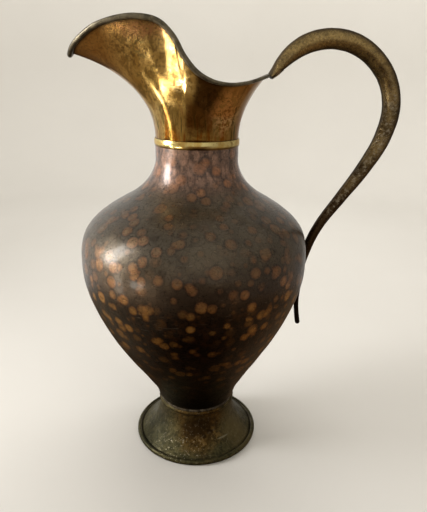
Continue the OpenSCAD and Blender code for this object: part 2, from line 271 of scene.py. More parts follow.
# ---- Foot -------------------------------------------------------------------------------------

foot_corner = [(WAIST_R - FOOT_CORNER_R + FOOT_CORNER_R * math.cos(math.radians(a)),
                FOOT_H - FOOT_CORNER_R + FOOT_CORNER_R * math.sin(math.radians(a)))
               for a in range(90, 0, -15)]
foot_path = even(
    np.vstack([[(FOOT_FLANGE_R, FOOT_H)], foot_corner, smooth(FOOT_STATIONS, 12)]), 1.2)
# Two fine turned grooves beside the roll
groove_run = np.hypot(foot_path[:, 0] - FOOT_R, foot_path[:, 1])
for at in (12.5, 16.5):
    cut = 0.35 * np.exp(-((groove_run - at) / 0.8) ** 2)
    foot_path[:, 1] -= cut
roll = [(FOOT_R - FOOT_ROLL_R + FOOT_ROLL_R * math.cos(math.radians(a)),
         FOOT_ROLL_R - 0.2 + FOOT_ROLL_R * math.sin(math.radians(a))) for a in range(96, -95, -12)]
roll = [(r, max(z, 0.0)) for r, z in roll]
upper_face = foot_path[foot_path[:, 0] < roll[0][0]]
under = beside(foot_path, -FOOT_T)[::-1]
under = under[(under[:, 0] < FOOT_R - FOOT_ROLL_R - 3.5)][::3]


def worn_foot(x, y, z):
    return ease((z - 8) / 10) * ease((FOOT_H - z) / 8) * hammered(x, y, z, *FOOT_HAMMER)


roll_end = [(FOOT_R - 9.6, 2.6), (FOOT_R - 9.9, 4.6)]
foot = lathe("foot_raised", np.vstack([upper_face, roll, roll_end, under]), FOOT_SIDES, ["foot"],
             worn_foot, crease=50)

collar_mid = WAIST_R + FIT + COLLAR_OUT - COLLAR_R
collar_loop = [(collar_mid + COLLAR_R * math.cos(math.radians(a)),
                FOOT_H - COLLAR_R + COLLAR_RISE + COLLAR_R * math.sin(math.radians(a)))
               for a in range(-68, 69, 8)]
collar_loop += [(WAIST_R + FIT, collar_loop[-1][1]), (WAIST_R + FIT, collar_loop[0][1])]


def worn_collar(x, y, z):
    return 0.22 * noise.noise(Vector((x / 9, y / 9, z / 5)))


foot_collar = lathe("foot_collar_band", collar_loop, BAND_SIDES, ["foot_collar"],
                    worn_collar)


def lumpy(x, y, z):
    lumps = noise.noise(Vector((x / 6, y / 6, z / 6 + 4)))
    return 0.55 * lumps + 0.2 * noise.noise(Vector((x, y, z)) / 2.2)


solder_loop = [
    (WAIST_R - 2.2, FOOT_H - 3), (WAIST_R - 0.1, FOOT_H - 3), (WAIST_R - 0.1, FOOT_H + 2.1),
    (WAIST_R + 1.1, FOOT_H + 1.8), (WAIST_R + 1.4, FOOT_H + 2.6), (WAIST_R + 1.1, FOOT_H + 4.2),
    (WAIST_R + 0.7, FOOT_H + 5.6), (WAIST_R - 1.4, FOOT_H + 5.4)]
foot_solder = lathe("foot_solder_bead", solder_loop, BAND_SIDES, ["foot_solder"], lumpy,
                    crease=60)

# ---- Neck joint -------------------------------------------------------------------------------

RING_MID = NECK_TOP + RING_RISE
swell = RING_OUT - RING_EDGE
ring_arc = (RING_H ** 2 / 4 + swell ** 2) / (2 * swell)
ring_half_angle = math.asin(RING_H / 2 / ring_arc)
ring_loop = [(NECK_R + FIT, RING_MID - RING_H / 2)] + [
    (NECK_R + FIT + RING_OUT - ring_arc + ring_arc * math.cos(a), RING_MID + ring_arc * math.sin(a))
    for a in np.linspace(-ring_half_angle, ring_half_angle, 13)
] + [(NECK_R + FIT, RING_MID + RING_H / 2)]


def worn_ring(x, y, z):
    return 0.12 * noise.noise(Vector((x / 11, y / 11, z / 9 + 2)))


neck_ring = lathe("neck_ring_band", ring_loop, RING_SIDES, ["neck_ring"],
                  worn_ring)
solder_top = NECK_TOP + (RING_H / 2 + 0.3)
neck_solder_loop = [(NECK_R - 1.4, NECK_TOP), (NECK_R, NECK_TOP), (NECK_R, solder_top),
                    (NECK_R - 0.55, solder_top)]


def uneven_solder(x, y, z):
    return 0.04 * noise.noise(Vector((x / 5, y / 5, z / 5)))


neck_solder = lathe("neck_solder_line", neck_solder_loop, BAND_SIDES, ["neck_solder"],
                    uneven_solder)

# ---- Spout ------------------------------------------------------------------------------------

SPOUT_TAIL_R = NECK_R - COPPER_T - FIT
SPOUT_BASE_R = NECK_R - 0.4
SPOUT_START = RING_MID + RING_H / 2 + 0.3
ROLL_ANGLE = 292
FACE_ROWS = 37
INNER_ROLL_STEPS = 10
OUTER_ROLL_STEPS = 20


def mirrored(s, turn=360):
    """A rim station on the far side of the jug's middle plane."""
    return (s[0], -s[1], s[2], turn - s[3], s[4], s[5], s[6], s[7])


def lowered(s, turn=0):
    """A rim station with its share of the uneven drop taken off its height."""
    return (s[0], s[1], s[2] - RIM_UNEVEN * s[8], s[3] + turn, s[4], s[5], s[6], s[7])


LAST = len(RIM_STATIONS) - 1
RIM_STEPS = 10
rim_loop = ([mirrored(RIM_STATIONS[1], 0)] + [lowered(s) for s in RIM_STATIONS]
            + [mirrored(s) for s in RIM_STATIONS[LAST - 1::-1]] + [lowered(RIM_STATIONS[1], 360)])
rim = smooth(rim_loop, RIM_STEPS, 1, 2 * LAST + 1)[:-1]
rim_at = np.c_[rim[:, 0], rim[:, 1], NECK_TOP + rim[:, 2]]
along = np.roll(rim_at, -1, axis=0) - np.roll(rim_at, 1, axis=0)
along /= np.linalg.norm(along, axis=1)[:, None]
way, up_angle = np.radians(rim[:, 3]), np.radians(rim[:, 4])
rise = np.c_[np.cos(way) * np.cos(up_angle), np.sin(way) * np.cos(up_angle), np.sin(up_angle)]
outward = np.cross(along, rise)
outward /= np.linalg.norm(outward, axis=1)[:, None]
roll_up = np.cross(outward, along)
wire = WIRE_R * rim[:, 7]
angle = np.arctan2(rim[:, 1], rim[:, 0])
round_about = np.c_[np.cos(angle), np.sin(angle), 0 * angle]


def spout_face():
    """The sheet's outer face, as rows of points from the tail up to the roll."""
    up = np.array([0.0, 0.0, 1.0])
    rows = [round_about * SPOUT_TAIL_R + up * (NECK_TOP - TAIL_H),
            round_about * (SPOUT_TAIL_R + 0.1) + up * (NECK_TOP + 0.3)]
    base = round_about * SPOUT_BASE_R + up * SPOUT_START
    tip = rim_at - (wire + FIT)[:, None] * outward
    low = base + rim[:, 5:6] * up
    high = tip - rim[:, 6:7] * rise
    for t in np.linspace(0, 1, FACE_ROWS):
        rows.append(base * (1 - t) ** 3 + 3 * low * t * (1 - t) ** 2
                    + 3 * high * t * t * (1 - t) + tip * t ** 3)
    return np.array(rows)


def sheet_normals(rows):
    across = np.roll(rows, -1, axis=1) - np.roll(rows, 1, axis=1)
    upward = np.gradient(rows, axis=0)
    n = np.cross(across, upward)
    return n / np.linalg.norm(n, axis=2)[:, :, None]


face = spout_face()
normal = sheet_normals(face)
for i in range(3, len(face) - 1):
    share = ease((i - 3) / 6) * ease((len(face) - 1 - i) / 3)
    for j in range(face.shape[1]):
        x, y, z = face[i, j]
        dent = (0.22 * noise.noise(Vector((x / 26, y / 26, z / 26 + 9)))
                + hammered(x, y, z, *SPOUT_HAMMER))
        face[i, j] += normal[i, j] * dent * share


def roll_rows(radius, steps):
    out = []
    for k in range(1, steps + 1):
        a = math.radians(ROLL_ANGLE * k / steps)
        out.append(rim_at + radius[:, None] * (-math.cos(a) * outward + math.sin(a) * roll_up))
    return out


inner = face - normal * SPOUT_T
inner_rows = list(inner[1:-1][::-1]) + [face[0] - round_about * SPOUT_T]
full = wire + FIT + SPOUT_T
dented = full * (1 + 0.035 * np.array([noise.noise(Vector(p) / 14.0) for p in rim_at]))
rows = (list(face) + roll_rows(wire + FIT, INNER_ROLL_STEPS)
        + roll_rows(dented, OUTER_ROLL_STEPS)[::-1]
        + [rim_at - full[:, None] * outward] + inner_rows)
columns = len(rim)
spout = piece("spout_helmet", np.vstack(rows), grid_faces(len(rows), columns, wrap_rows=True),
              ["spout"], crease=60)

# ---- Handle -----------------------------------------------------------------------------------

HANDLE_STEPS = 9
HANDLE_SIDES = 56
handle_line = smooth(HANDLE_STATIONS, HANDLE_STEPS)
handle_mid = np.c_[handle_line[:, 0], 0 * handle_line[:, 0], NECK_TOP + handle_line[:, 1]]
handle_mid[:, 0] += [lean(z) for z in handle_mid[:, 2]]
handle_along = np.gradient(handle_mid, axis=0)
handle_along /= np.linalg.norm(handle_along, axis=1)[:, None]
handle_up = np.cross(handle_along, [0, 1, 0])
run = np.r_[0, np.cumsum(np.linalg.norm(np.diff(handle_mid, axis=0), axis=1))]


def handle_ring(i, inset):
    """One ring of the tube; its hammered facets are longer than they are wide."""
    ring = []
    for k in range(HANDLE_SIDES):
        a = 2 * math.pi * k / HANDLE_SIDES
        high, wide = handle_line[i][2] - inset, handle_line[i][3] - inset
        p = (handle_mid[i] + high * math.sin(a) * handle_up[i]
             + wide * math.cos(a) * np.array([0, 1, 0]))
        if inset == 0:
            size = min(high, wide) / 14
            p = p + (p - handle_mid[i]) / max(high, 3) * size * (
                0.16 * noise.noise(Vector((run[i] / 9, a * 2.2, 3)))
                + 0.35 * hammered(math.cos(a) * 14, math.sin(a) * 14, run[i], *HANDLE_HAMMER))
        ring.append(p)
    return ring


count = len(handle_line)
# The bore ends short of the pinched root
BORE_END = 6
tube = ([handle_ring(i, 0) for i in range(count)]
        + [handle_ring(i, HANDLE_T) for i in range(count - 1, BORE_END, -1)])
tube_faces = grid_faces(len(tube), HANDLE_SIDES) + end_caps(len(tube), HANDLE_SIDES)
handle = piece("handle_tube_drawn", np.vstack(tube), tube_faces, ["handle_tube"],
               crease=50)


def dome(mid, way_on, side, radius, rings, sides):
    """Points and faces of a domed plug with a short shank behind it."""
    third = np.cross(way_on, side)
    rows = []
    for back, r in [(-8, radius - 1.6), (-0.3, radius - 1.6), (-0.3, radius - 0.1)] + [
            (radius * math.sin(t), radius * math.cos(t)) for t in np.linspace(0.02, 1.5, rings)]:
        rows.append([mid + way_on * back + r * (math.cos(a) * side + math.sin(a) * third)
                     for a in np.linspace(0, 2 * math.pi, sides, endpoint=False)])
    return np.vstack(rows), grid_faces(len(rows), sides) + end_caps(len(rows), sides)


plug_points, plug_faces = dome(
    handle_mid[-1], handle_along[-1], np.array([0.0, 1.0, 0.0]), PLUG_R, rings=9, sides=32)
tip_plug = piece("handle_tip_dome", plug_points, plug_faces, ["handle_tip_plug"])

# The tongue brazed under the rim and the handle's pinched end; its far end is narrow and thin
TONGUE_RUN = 2 * HANDLE_STEPS
# Across the tongue, and down from its upper face
TONGUE_SECTION = [(-7, 0.4), (-5.6, 0), (0, 0), (5.6, 0), (7, 0.4), (7, 1.2), (5.4, 1.8), (0, 2.0),
                  (-5.4, 1.8), (-7, 1.2)]
tongue_rows = []
for i in range(0, TONGUE_RUN, 2):
    under_side = handle_mid[i] - (handle_line[i][2] + FIT) * handle_up[i]
    narrow = 1 - 0.35 * (i / TONGUE_RUN) ** 2
    thin = 1 - 0.85 * ease((i / TONGUE_RUN - 0.30) / 0.6)
    tongue_rows.append([under_side - depth * thin * handle_up[i] + np.array([0, y * narrow, 0])
                        for y, depth in TONGUE_SECTION])
tongue_faces = (grid_faces(len(tongue_rows), len(TONGUE_SECTION))
                + end_caps(len(tongue_rows), len(TONGUE_SECTION)))
tongue = piece("rim_tongue_strap", np.vstack(tongue_rows), tongue_faces, ["rim_tongue"],
               crease=60)

BRAZE_ROWS = 22
BRAZE_COLUMNS = 9


def braze_points():
    """Brazing metal between the handle and the belly, run out over both."""
    rows = []
    heights = np.linspace(NECK_TOP - BRAZE_LOW, NECK_TOP - BRAZE_HIGH, BRAZE_ROWS)
    for z in heights:
        i = int(np.argmin(np.abs(handle_mid[count // 2:, 2] - z))) + count // 2
        belly = np.interp(z, outer[:, 1], outer[:, 0]) + lean(z)
        hx = handle_mid[i][0]
        out = 1 - abs(2 * (z - heights[0]) / (heights[-1] - heights[0]) - 1) ** 4
        wide = 2.5 + 6.2 * out
        on_belly = [(belly - 0.8 - y * y / (2 * BELLY_R), y, z)
                    for y in np.linspace(-wide, wide, BRAZE_COLUMNS)]
        on_handle = [(hx + 0.3 * out - (abs(y) / 9) ** 2 * 4.5, y, z)
                     for y in np.linspace(wide * 0.9, -wide * 0.9, BRAZE_COLUMNS)]
        rows.append(on_belly + on_handle)
    return rows


wobble = [tuple(Vector(p) + Vector((0.3, 0.3, 0.2)) * noise.noise(Vector(p) / 3.0))
          for row in braze_points() for p in row]
braze_faces = grid_faces(BRAZE_ROWS, 2 * BRAZE_COLUMNS) + end_caps(BRAZE_ROWS, 2 * BRAZE_COLUMNS)
braze = piece("belly_braze_fillet", wobble, braze_faces, ["belly_braze"], crease=70)


# ---- Materials --------------------------------------------------------------------------------

class Net:
    """A short way to write a material's nodes. Coordinates are the object's own, in metres."""

    def __init__(self, name):
        self.material = bpy.data.materials.new(name)
        self.material.use_nodes = True
        self.tree = self.material.node_tree
        self.shader = self.tree.nodes["Principled BSDF"]
        self.place = self.tree.nodes.new("ShaderNodeTexCoord").outputs["Object"]

    def add(self, kind, **values):
        node = self.tree.nodes.new("ShaderNode" + kind)
        for key, value in values.items():
            setattr(node, key, value)
        return node

    def feed(self, socket, value):
        if isinstance(value, bpy.types.NodeSocket):
            self.tree.links.new(value, socket)
        elif isinstance(value, (tuple, list)) and socket.type == "RGBA" and len(value) == 3:
            socket.default_value = (*value, 1)
        else:
            socket.default_value = value

    def math(self, operation, a, b=0.0, clamp=False):
        node = self.add("Math", operation=operation, use_clamp=clamp)
        self.feed(node.inputs[0], a)
        self.feed(node.inputs[1], b)
        return node.outputs[0]

    def times(self, a, b):
        return self.math("MULTIPLY", a, b)

    def mix(self, share, a, b):
        node = self.add("Mix", data_type="RGBA")
        self.feed(node.inputs[0], share)
        self.feed(node.inputs[6], a)
        self.feed(node.inputs[7], b)
        return node.outputs[2]

    def step(self, value, low, high, to_low=0.0, to_high=1.0):
        node = self.add("MapRange", interpolation_type="SMOOTHSTEP")
        for socket, item in zip(node.inputs[:5], (value, low, high, to_low, to_high)):
            self.feed(socket, item)
        return node.outputs[0]

    def stretched(self, scale, shift=(0, 0, 0)):
        node = self.add("Mapping")
        self.feed(node.inputs[0], self.place)
        node.inputs["Scale"].default_value = scale
        node.inputs["Location"].default_value = shift
        return node.outputs[0]

    def noise(self, size, detail=4.0, rough=0.55, place=None, warp=0.0):
        """Noise whose features are about size across, in metres."""
        node = self.add("TexNoise")
        self.feed(node.inputs["Vector"], place or self.place)
        node.inputs["Scale"].default_value = 1 / size
        node.inputs["Detail"].default_value = detail
        node.inputs["Roughness"].default_value = rough
        node.inputs["Distortion"].default_value = warp
        return node.outputs["Fac"]

    def cells(self, size, place=None, scatter=1.0):
        node = self.add("TexVoronoi")
        self.feed(node.inputs["Vector"], place or self.place)
        node.inputs["Scale"].default_value = 1 / size
        node.inputs["Randomness"].default_value = scatter
        return node

    def crevice_shade_and_grime(self, reach):
        """1 deep in a crevice no wider than reach, in metres, and 0 on open metal; it masks painted
        shade, with grime, in crevices.
        """
        node = self.add("AmbientOcclusion", samples=8)
        node.inputs["Distance"].default_value = reach
        return self.step(node.outputs["AO"], 0.93, 0.60)

    def edge(self, blend=0.35):
        """0 where the surface faces the eye, rising to 1 at its outline."""
        node = self.add("LayerWeight")
        node.inputs["Blend"].default_value = blend
        return node.outputs["Facing"]

    def height(self):
        node = self.add("SeparateXYZ")
        self.feed(node.inputs[0], self.place)
        return node.outputs[2]

    def warped(self, size, amount):
        """The coordinates pushed about by noise, so that the edges of patches are ragged."""
        node = self.add("TexNoise")
        self.feed(node.inputs["Vector"], self.place)
        node.inputs["Scale"].default_value = 1 / size
        node.inputs["Detail"].default_value = 3
        shift = self.add("VectorMath", operation="MULTIPLY_ADD")
        self.feed(shift.inputs[0], node.outputs["Color"])
        shift.inputs[1].default_value = (amount,) * 3
        self.feed(shift.inputs[2], self.place)
        back = self.add("VectorMath", operation="SUBTRACT")
        self.feed(back.inputs[0], shift.outputs[0])
        back.inputs[1].default_value = (amount / 2,) * 3
        return back.outputs[0]

    def patch(self, place, middle, stretch, radius, soft):
        """1 inside an ellipsoid about a point on the jug, in mm, fading to 0 at its edge."""
        away = self.add("VectorMath", operation="SUBTRACT")
        self.feed(away.inputs[0], place)
        away.inputs[1].default_value = [c * MM for c in middle]
        scaled = self.add("VectorMath", operation="MULTIPLY")
        self.feed(scaled.inputs[0], away.outputs[0])
        scaled.inputs[1].default_value = stretch
        size = self.add("VectorMath", operation="LENGTH")
        self.feed(size.inputs[0], scaled.outputs[0])
        near, far = (radius - soft) * MM, (radius + soft) * MM
        return self.step(size.outputs["Value"], near, far, 1.0, 0.0)

    def bump(self, height, distance, strength=1.0):
        node = self.add("Bump")
        node.inputs["Strength"].default_value = strength
        node.inputs["Distance"].default_value = distance
        self.feed(node.inputs["Height"], height)
        if self.shader.inputs["Normal"].links:
            self.feed(node.inputs["Normal"], self.shader.inputs["Normal"].links[0].from_socket)
        self.feed(self.shader.inputs["Normal"], node.outputs[0])

    def finish(self, colour, rough, metal, coat=0.0, coat_rough=0.2):
        """Sets the shader. A coat of None leaves the coat as it was."""
        self.feed(self.shader.inputs["Base Color"], colour)
        self.feed(self.shader.inputs["Roughness"], rough)
        self.feed(self.shader.inputs["Metallic"], metal)
        if coat is not None:
            self.shader.inputs["Coat Weight"].default_value = coat
        self.shader.inputs["Coat Roughness"].default_value = coat_rough
        return self.material


def patinated_copper():
    n = Net("patinated_copper_detail")
    z = n.height()
    cloud = n.noise(0.09, 5, 0.6)
    fine = n.noise(0.012, 5, 0.65)
    # Dark brown patina; the lighter olive-grey on the shoulder is a painted reflection of the room
    # above, and the blackish brown from the belly down is painted shade
    base = n.mix(n.step(cloud, 0.35, 0.68), (0.048, 0.030, 0.018), (0.112, 0.073, 0.043))
    shoulder_sheen = n.times(n.step(z, 0.33, 0.40), n.step(z, 0.47, 0.43))
    base = n.mix(n.times(shoulder_sheen, 0.75), base,
                 n.mix(n.step(cloud, 0.3, 0.7), (0.084, 0.069, 0.046), (0.152, 0.126, 0.084)))
    # Painted shade: blackish brown from the belly down
    low = n.step(z, 0.342, 0.300)
    base = n.mix(n.times(low, 0.92), base,
                 n.mix(n.step(fine, 0.42, 0.70), (0.009, 0.003, 0.0006), (0.046, 0.015, 0.0015)))
    neck = n.step(z, 0.44, 0.48)
    streak = n.noise(0.0085, 5, 0.68, n.stretched((1, 1, 0.42)))
    base = n.mix(n.times(neck, 0.9), base,
                 n.mix(n.step(streak, 0.38, 0.62), (0.085, 0.046, 0.031), (0.310, 0.172, 0.112)))
    # Round copper spots with a brighter middle and a dark edge, where the patina was dripped off
    fleck = n.step(fine, 0.30, 0.56, 0.50, 1.0)
    middle = n.mix(low, (0.345, 0.165, 0.060), (0.410, 0.200, 0.046))
    # The shoulder's painted reflection greys the spots' middles
    middle = n.mix(shoulder_sheen, middle, (0.250, 0.140, 0.062))
    middle = n.mix(neck, middle, (0.400, 0.170, 0.075))
    skirt = n.mix(low, (0.215, 0.090, 0.037), (0.200, 0.080, 0.014))
    for size, least, most, scatter, weight, shift in ((0.0225, 0.33, 0.46, 0.80, 1.00, 11.3),
                                                      (0.0290, 0.22, 0.37, 0.90, 0.75, 3.3),
                                                      (0.0260, 0.26, 0.38, 0.90, 0.80, 8.9),
                                                      (0.0170, 0.16, 0.34, 1.00, 0.45, 7.1)):
        moved = n.add("VectorMath", operation="ADD")
        n.feed(moved.inputs[0], n.warped(0.009, 0.0022))
        moved.inputs[1].default_value = (shift, shift, shift)
        spot = n.cells(size, moved.outputs[0], scatter)
        picked = n.add("SeparateColor")
        n.feed(picked.inputs[0], spot.outputs["Color"])
        radius = n.step(picked.outputs[0], 0.0, 1.0, least, most)
        inside = n.math("SUBTRACT", radius, spot.outputs["Distance"])
        faint = n.step(picked.outputs[1], 0.06, 0.72, 0.08, weight)
        share = n.times(n.times(n.step(inside, -0.02, 0.09), faint), fleck)
        # Fewer spots show through the shoulder's painted reflection
        share = n.times(share, n.math("SUBTRACT", 1.0, n.times(shoulder_sheen, 0.40)))
        share = n.times(share, n.step(z, 0.480, 0.505, 1.0, 0.45))
        share = n.times(share, n.step(z, 0.13, 0.23, 0.15, 1.0))
        outline = n.times(n.step(inside, -0.12, -0.03), n.step(inside, 0.05, -0.03))
        base = n.mix(n.times(outline, n.times(faint, 0.35)), base, (0.012, 0.006, 0.003))
        base = n.mix(share, base, n.mix(n.step(inside, 0.02, 0.22), skirt, middle))
    # Fine pale scratches, and painted shade, near black, just above the foot
    scratch = n.noise(0.006, 2, 0.5, n.stretched((0.35, 0.35, 3.0)), 0.6)
    base = n.mix(n.times(n.step(scratch, 0.66, 0.72), 0.25), base, (0.26, 0.22, 0.17))
    base = n.mix(n.step(z, 0.150, 0.090), base, (0.010, 0.006, 0.003))
    # Thin dark cracks in the patina, and a crust of tiny grains that breaks up the highlights
    crack = n.add("TexVoronoi", feature="DISTANCE_TO_EDGE")
    n.feed(crack.inputs["Vector"], n.warped(0.006, 0.008))
    crack.inputs["Scale"].default_value = 90
    base = n.mix(n.times(n.step(crack.outputs["Distance"], 0.045, 0.01), 0.35), base,
                 (0.008, 0.005, 0.003))
    grain = n.noise(0.0030, 4, 0.75)
    n.bump(fine, 0.0008, 0.7)
    n.bump(grain, 0.0004, 0.7)
    gloss = n.times(n.step(grain, 0.38, 0.62, 0.12, 0.65), n.step(z, 0.28, 0.345, 0.30, 1.0))
    gloss = n.math("MAXIMUM", gloss, n.step(z, 0.44, 0.47, 0.0, 0.85))
    n.feed(n.shader.inputs["Coat Weight"], gloss)
    metal = n.math("MAXIMUM", n.step(z, 0.43, 0.48, 0.76, 0.45), n.step(z, 0.34, 0.26, 0.0, 0.93))
    return n.finish(base, n.step(grain, 0.32, 0.68, 0.24, 0.46), metal, None, 0.17)


def aged_brass():
    n = Net("aged_brass_detail")
    place = n.warped(0.02, 0.012)
    cloud = n.noise(0.07, 5, 0.62, warp=0.4)
    fine = n.noise(0.006, 5, 0.7)
    base = n.mix(n.step(cloud, 0.35, 0.66), (0.42, 0.250, 0.070), (0.78, 0.55, 0.215))
    # Tarnish, in vertical brown drips and specks and an olive patch; a pale patch that is a painted
    # reflection; and a pink blush that is partly a painted reflection
    drip = n.noise(0.014, 5, 0.6, n.stretched((1, 1, 0.3)), 0.5)
    base = n.mix(n.times(n.step(drip, 0.48, 0.62), 0.65), base, (0.19, 0.120, 0.028))
    speck = n.step(n.noise(0.004, 4, 0.7), 0.56, 0.64)
    base = n.mix(n.times(speck, 0.5), base, (0.11, 0.055, 0.018))
    torn = n.warped(0.009, 0.022)
    olive = n.times(n.patch(torn, (-97, -52, 648), (0.62, 1, 1.1), 19, 7),
                   n.step(n.noise(0.0065, 5, 0.7), 0.47, 0.56))
    base = n.mix(n.times(olive, 0.75), base, (0.17, 0.140, 0.050))
    # Painted reflection: a pale patch on the helmet's side
    pale = n.times(n.patch(torn, (-26, -66, 599), (0.6, 1, 1.1), 12, 3),
                  n.step(n.noise(0.0045, 5, 0.7), 0.40, 0.50))
    base = n.mix(n.times(pale, 0.75), base, (0.76, 0.55, 0.24))
    # Partly a painted reflection: a pink blush under the rim's peak
    blush = n.patch(place, (-70, -62, 668), (0.5, 1, 1.7), 19, 11)
    base = n.mix(n.times(blush, n.step(fine, 0.35, 0.6, 0.2, 0.9)), base, (0.72, 0.38, 0.19))
    place_split = n.add("SeparateXYZ")
    n.feed(place_split.inputs[0], place)
    # Brown towards the lip and on the handle's side, amber and olive stripes above the ring
    lip = n.step(place_split.outputs[0], -0.065, -0.150)
    base = n.mix(n.times(lip, 0.75), base, (0.30, 0.120, 0.028))
    back = n.times(n.step(place_split.outputs[0], 0.0, 0.06), n.step(drip, 0.35, 0.6, 0.4, 0.9))
    base = n.mix(back, base, (0.34, 0.165, 0.040))
    stripe = n.noise(0.009, 4, 0.6, n.stretched((1, 1, 0.12)))
    near_ring = n.step(place_split.outputs[2], 0.590, 0.530)
    base = n.mix(n.times(near_ring, 0.45), base, (0.36, 0.190, 0.028))
    base = n.mix(n.times(near_ring, n.step(stripe, 0.46, 0.60)), base, (0.30, 0.095, 0.006))
    base = n.mix(n.times(near_ring, n.step(stripe, 0.46, 0.36)), base, (0.13, 0.090, 0.012))
    # Ochre blotches on the right of the neck's flare, and speckles all over the helmet
    ochre = n.times(n.patch(place, (34, -60, 566), (1, 1, 0.75), 24, 12),
                   n.step(n.noise(0.0050, 5, 0.75), 0.46, 0.54))
    base = n.mix(n.times(ochre, 0.85), base, (0.80, 0.47, 0.20))
    helmet = n.times(n.step(place_split.outputs[2], 0.60, 0.64),
                     n.step(place_split.outputs[0], -0.035, -0.06))
    base = n.mix(n.times(helmet, n.step(n.noise(0.0034, 5, 0.8), 0.50, 0.60, 0.0, 0.7)), base,
                 (0.17, 0.085, 0.026))
    # Painted shade, with grime, in the spout's creases, chiefly under the rim's roll
    base = n.mix(n.times(n.crevice_shade_and_grime(0.016), 0.95), base, (0.040, 0.020, 0.008))
    rough = n.step(n.noise(0.025, 5, 0.65), 0.35, 0.7, 0.09, 0.24)
    n.bump(n.noise(0.010, 3, 0.5), 0.00030, 0.5)
    return n.finish(base, rough, 1.0)


def rolled_rim():
    n = Net("rim_bronze_detail")
    cloud = n.noise(0.016, 5, 0.6)
    base = n.mix(n.step(cloud, 0.35, 0.7), (0.092, 0.078, 0.052), (0.245, 0.210, 0.140))
    base = n.mix(n.times(n.step(n.noise(0.003, 3), 0.58, 0.68), 0.5), base, (0.36, 0.29, 0.16))
    n.bump(n.noise(0.004, 4), 0.0002, 0.5)
    return n.finish(base, n.step(cloud, 0.3, 0.7, 0.30, 0.48), 0.85)


def polished_brass():
    n = Net("polished_brass_detail")
    cloud = n.noise(0.018, 4, 0.6)
    base = n.mix(n.step(cloud, 0.4, 0.62), (0.80, 0.55, 0.17), (1.0, 0.83, 0.36))
    # Painted shade: the ring's lower part darker, where it faces down
    base = n.mix(n.step(n.height(), 0.5168, 0.5142, 0.0, 0.85), base, (0.17, 0.090, 0.022))
    base = n.mix(n.times(n.step(n.noise(0.004, 4), 0.60, 0.68), 0.6), base, (0.10, 0.06, 0.02))
    n.bump(n.noise(0.006, 3), 0.00015, 0.5)
    return n.finish(base, n.step(cloud, 0.3, 0.7, 0.27, 0.16), 1.0)


def verdigris_brass():
    n = Net("verdigris_brass_detail")
    z = n.height()
    cloud = n.noise(0.05, 6, 0.62, warp=0.5)
    fine = n.noise(0.006, 5, 0.7)
    green = n.mix(n.step(fine, 0.35, 0.65), (0.040, 0.037, 0.016), (0.112, 0.096, 0.041))
    brown = n.mix(n.step(fine, 0.35, 0.65), (0.038, 0.019, 0.004), (0.120, 0.064, 0.014))
    share = n.math("ADD", n.step(z, 0.018, 0.060, -0.30, 0.55),
                   n.step(cloud, 0.35, 0.65, 0.0, 0.6), clamp=True)
    ahead = n.patch(n.place, (2, -60, 50), (1, 0.6, 0.5), 44, 18)
    share = n.times(share, n.math("MAXIMUM", ahead, 0.30))
    base = n.mix(share, green, brown)
    ragged = n.warped(0.012, 0.012)
    front = n.patch(ragged, (-6, -78, 40), (0.75, 1, 0.8), 24, 12)
    base = n.mix(n.times(front, 0.75), base,
                 n.mix(n.step(fine, 0.35, 0.65), (0.052, 0.026, 0.004), (0.140, 0.072, 0.012)))
    dark = n.patch(ragged, (-4, -70, 44), (0.7, 1, 1.0), 20, 10)
    base = n.mix(n.times(dark, 0.8), base, (0.022, 0.010, 0.002))
    gold = n.times(n.patch(ragged, (-4, -84, 25), (0.5, 1, 0.9), 13, 8),
                  n.step(n.noise(0.0085, 5, 0.7), 0.47, 0.58))
    base = n.mix(n.times(gold, 0.70), base, (0.260, 0.155, 0.048))
    chafed = n.times(n.patch(ragged, (27, -72, 36), (0.8, 1, 0.6), 10, 7),
                    n.step(n.noise(0.0060, 5, 0.75), 0.48, 0.58))
    base = n.mix(n.times(chafed, 0.70), base, (0.240, 0.145, 0.045))
    # Painted shade on the spout's side, which the window lights, and painted light, paler and
    # browner, towards the handle
    window_side_shade = n.patch(ragged, (-78, -42, 26), (1, 1, 0.8), 38, 20)
    base = n.mix(n.times(window_side_shade, 0.75), base, (0.014, 0.013, 0.006))
    handle_side_light = n.patch(ragged, (66, -52, 28), (1, 1, 0.8), 28, 18)
    base = n.mix(n.times(handle_side_light, 0.60), base, (0.190, 0.145, 0.062))
    # Pale lime specks, thickest on the left of the front, and one thin scratch
    limed = n.patch(n.place, (-36, -84, 13), (0.7, 1, 1), 24, 14)
    speck = n.times(n.step(n.noise(0.0042, 5, 0.75), 0.575, 0.625),
                    n.step(cloud, 0.35, 0.55, 0.4, 1.0))
    base = n.mix(n.times(speck, n.math("MAXIMUM", limed, 0.15)), base, (0.55, 0.48, 0.33))
    line = n.patch(n.place, (42, -70, 25), (0.07, 0.12, 1), 1.0, 0.35)
    base = n.mix(n.times(line, 0.5), base, (0.36, 0.33, 0.22))
    # Painted shade, with grime, in the foot's creases
    base = n.mix(n.times(n.crevice_shade_and_grime(0.005), 0.35), base, (0.020, 0.014, 0.007))
    rough = n.step(n.noise(0.02, 5, 0.65), 0.3, 0.7, 0.42, 0.66)
    n.bump(fine, 0.0004, 0.6)
    return n.finish(base, rough, 0.90)


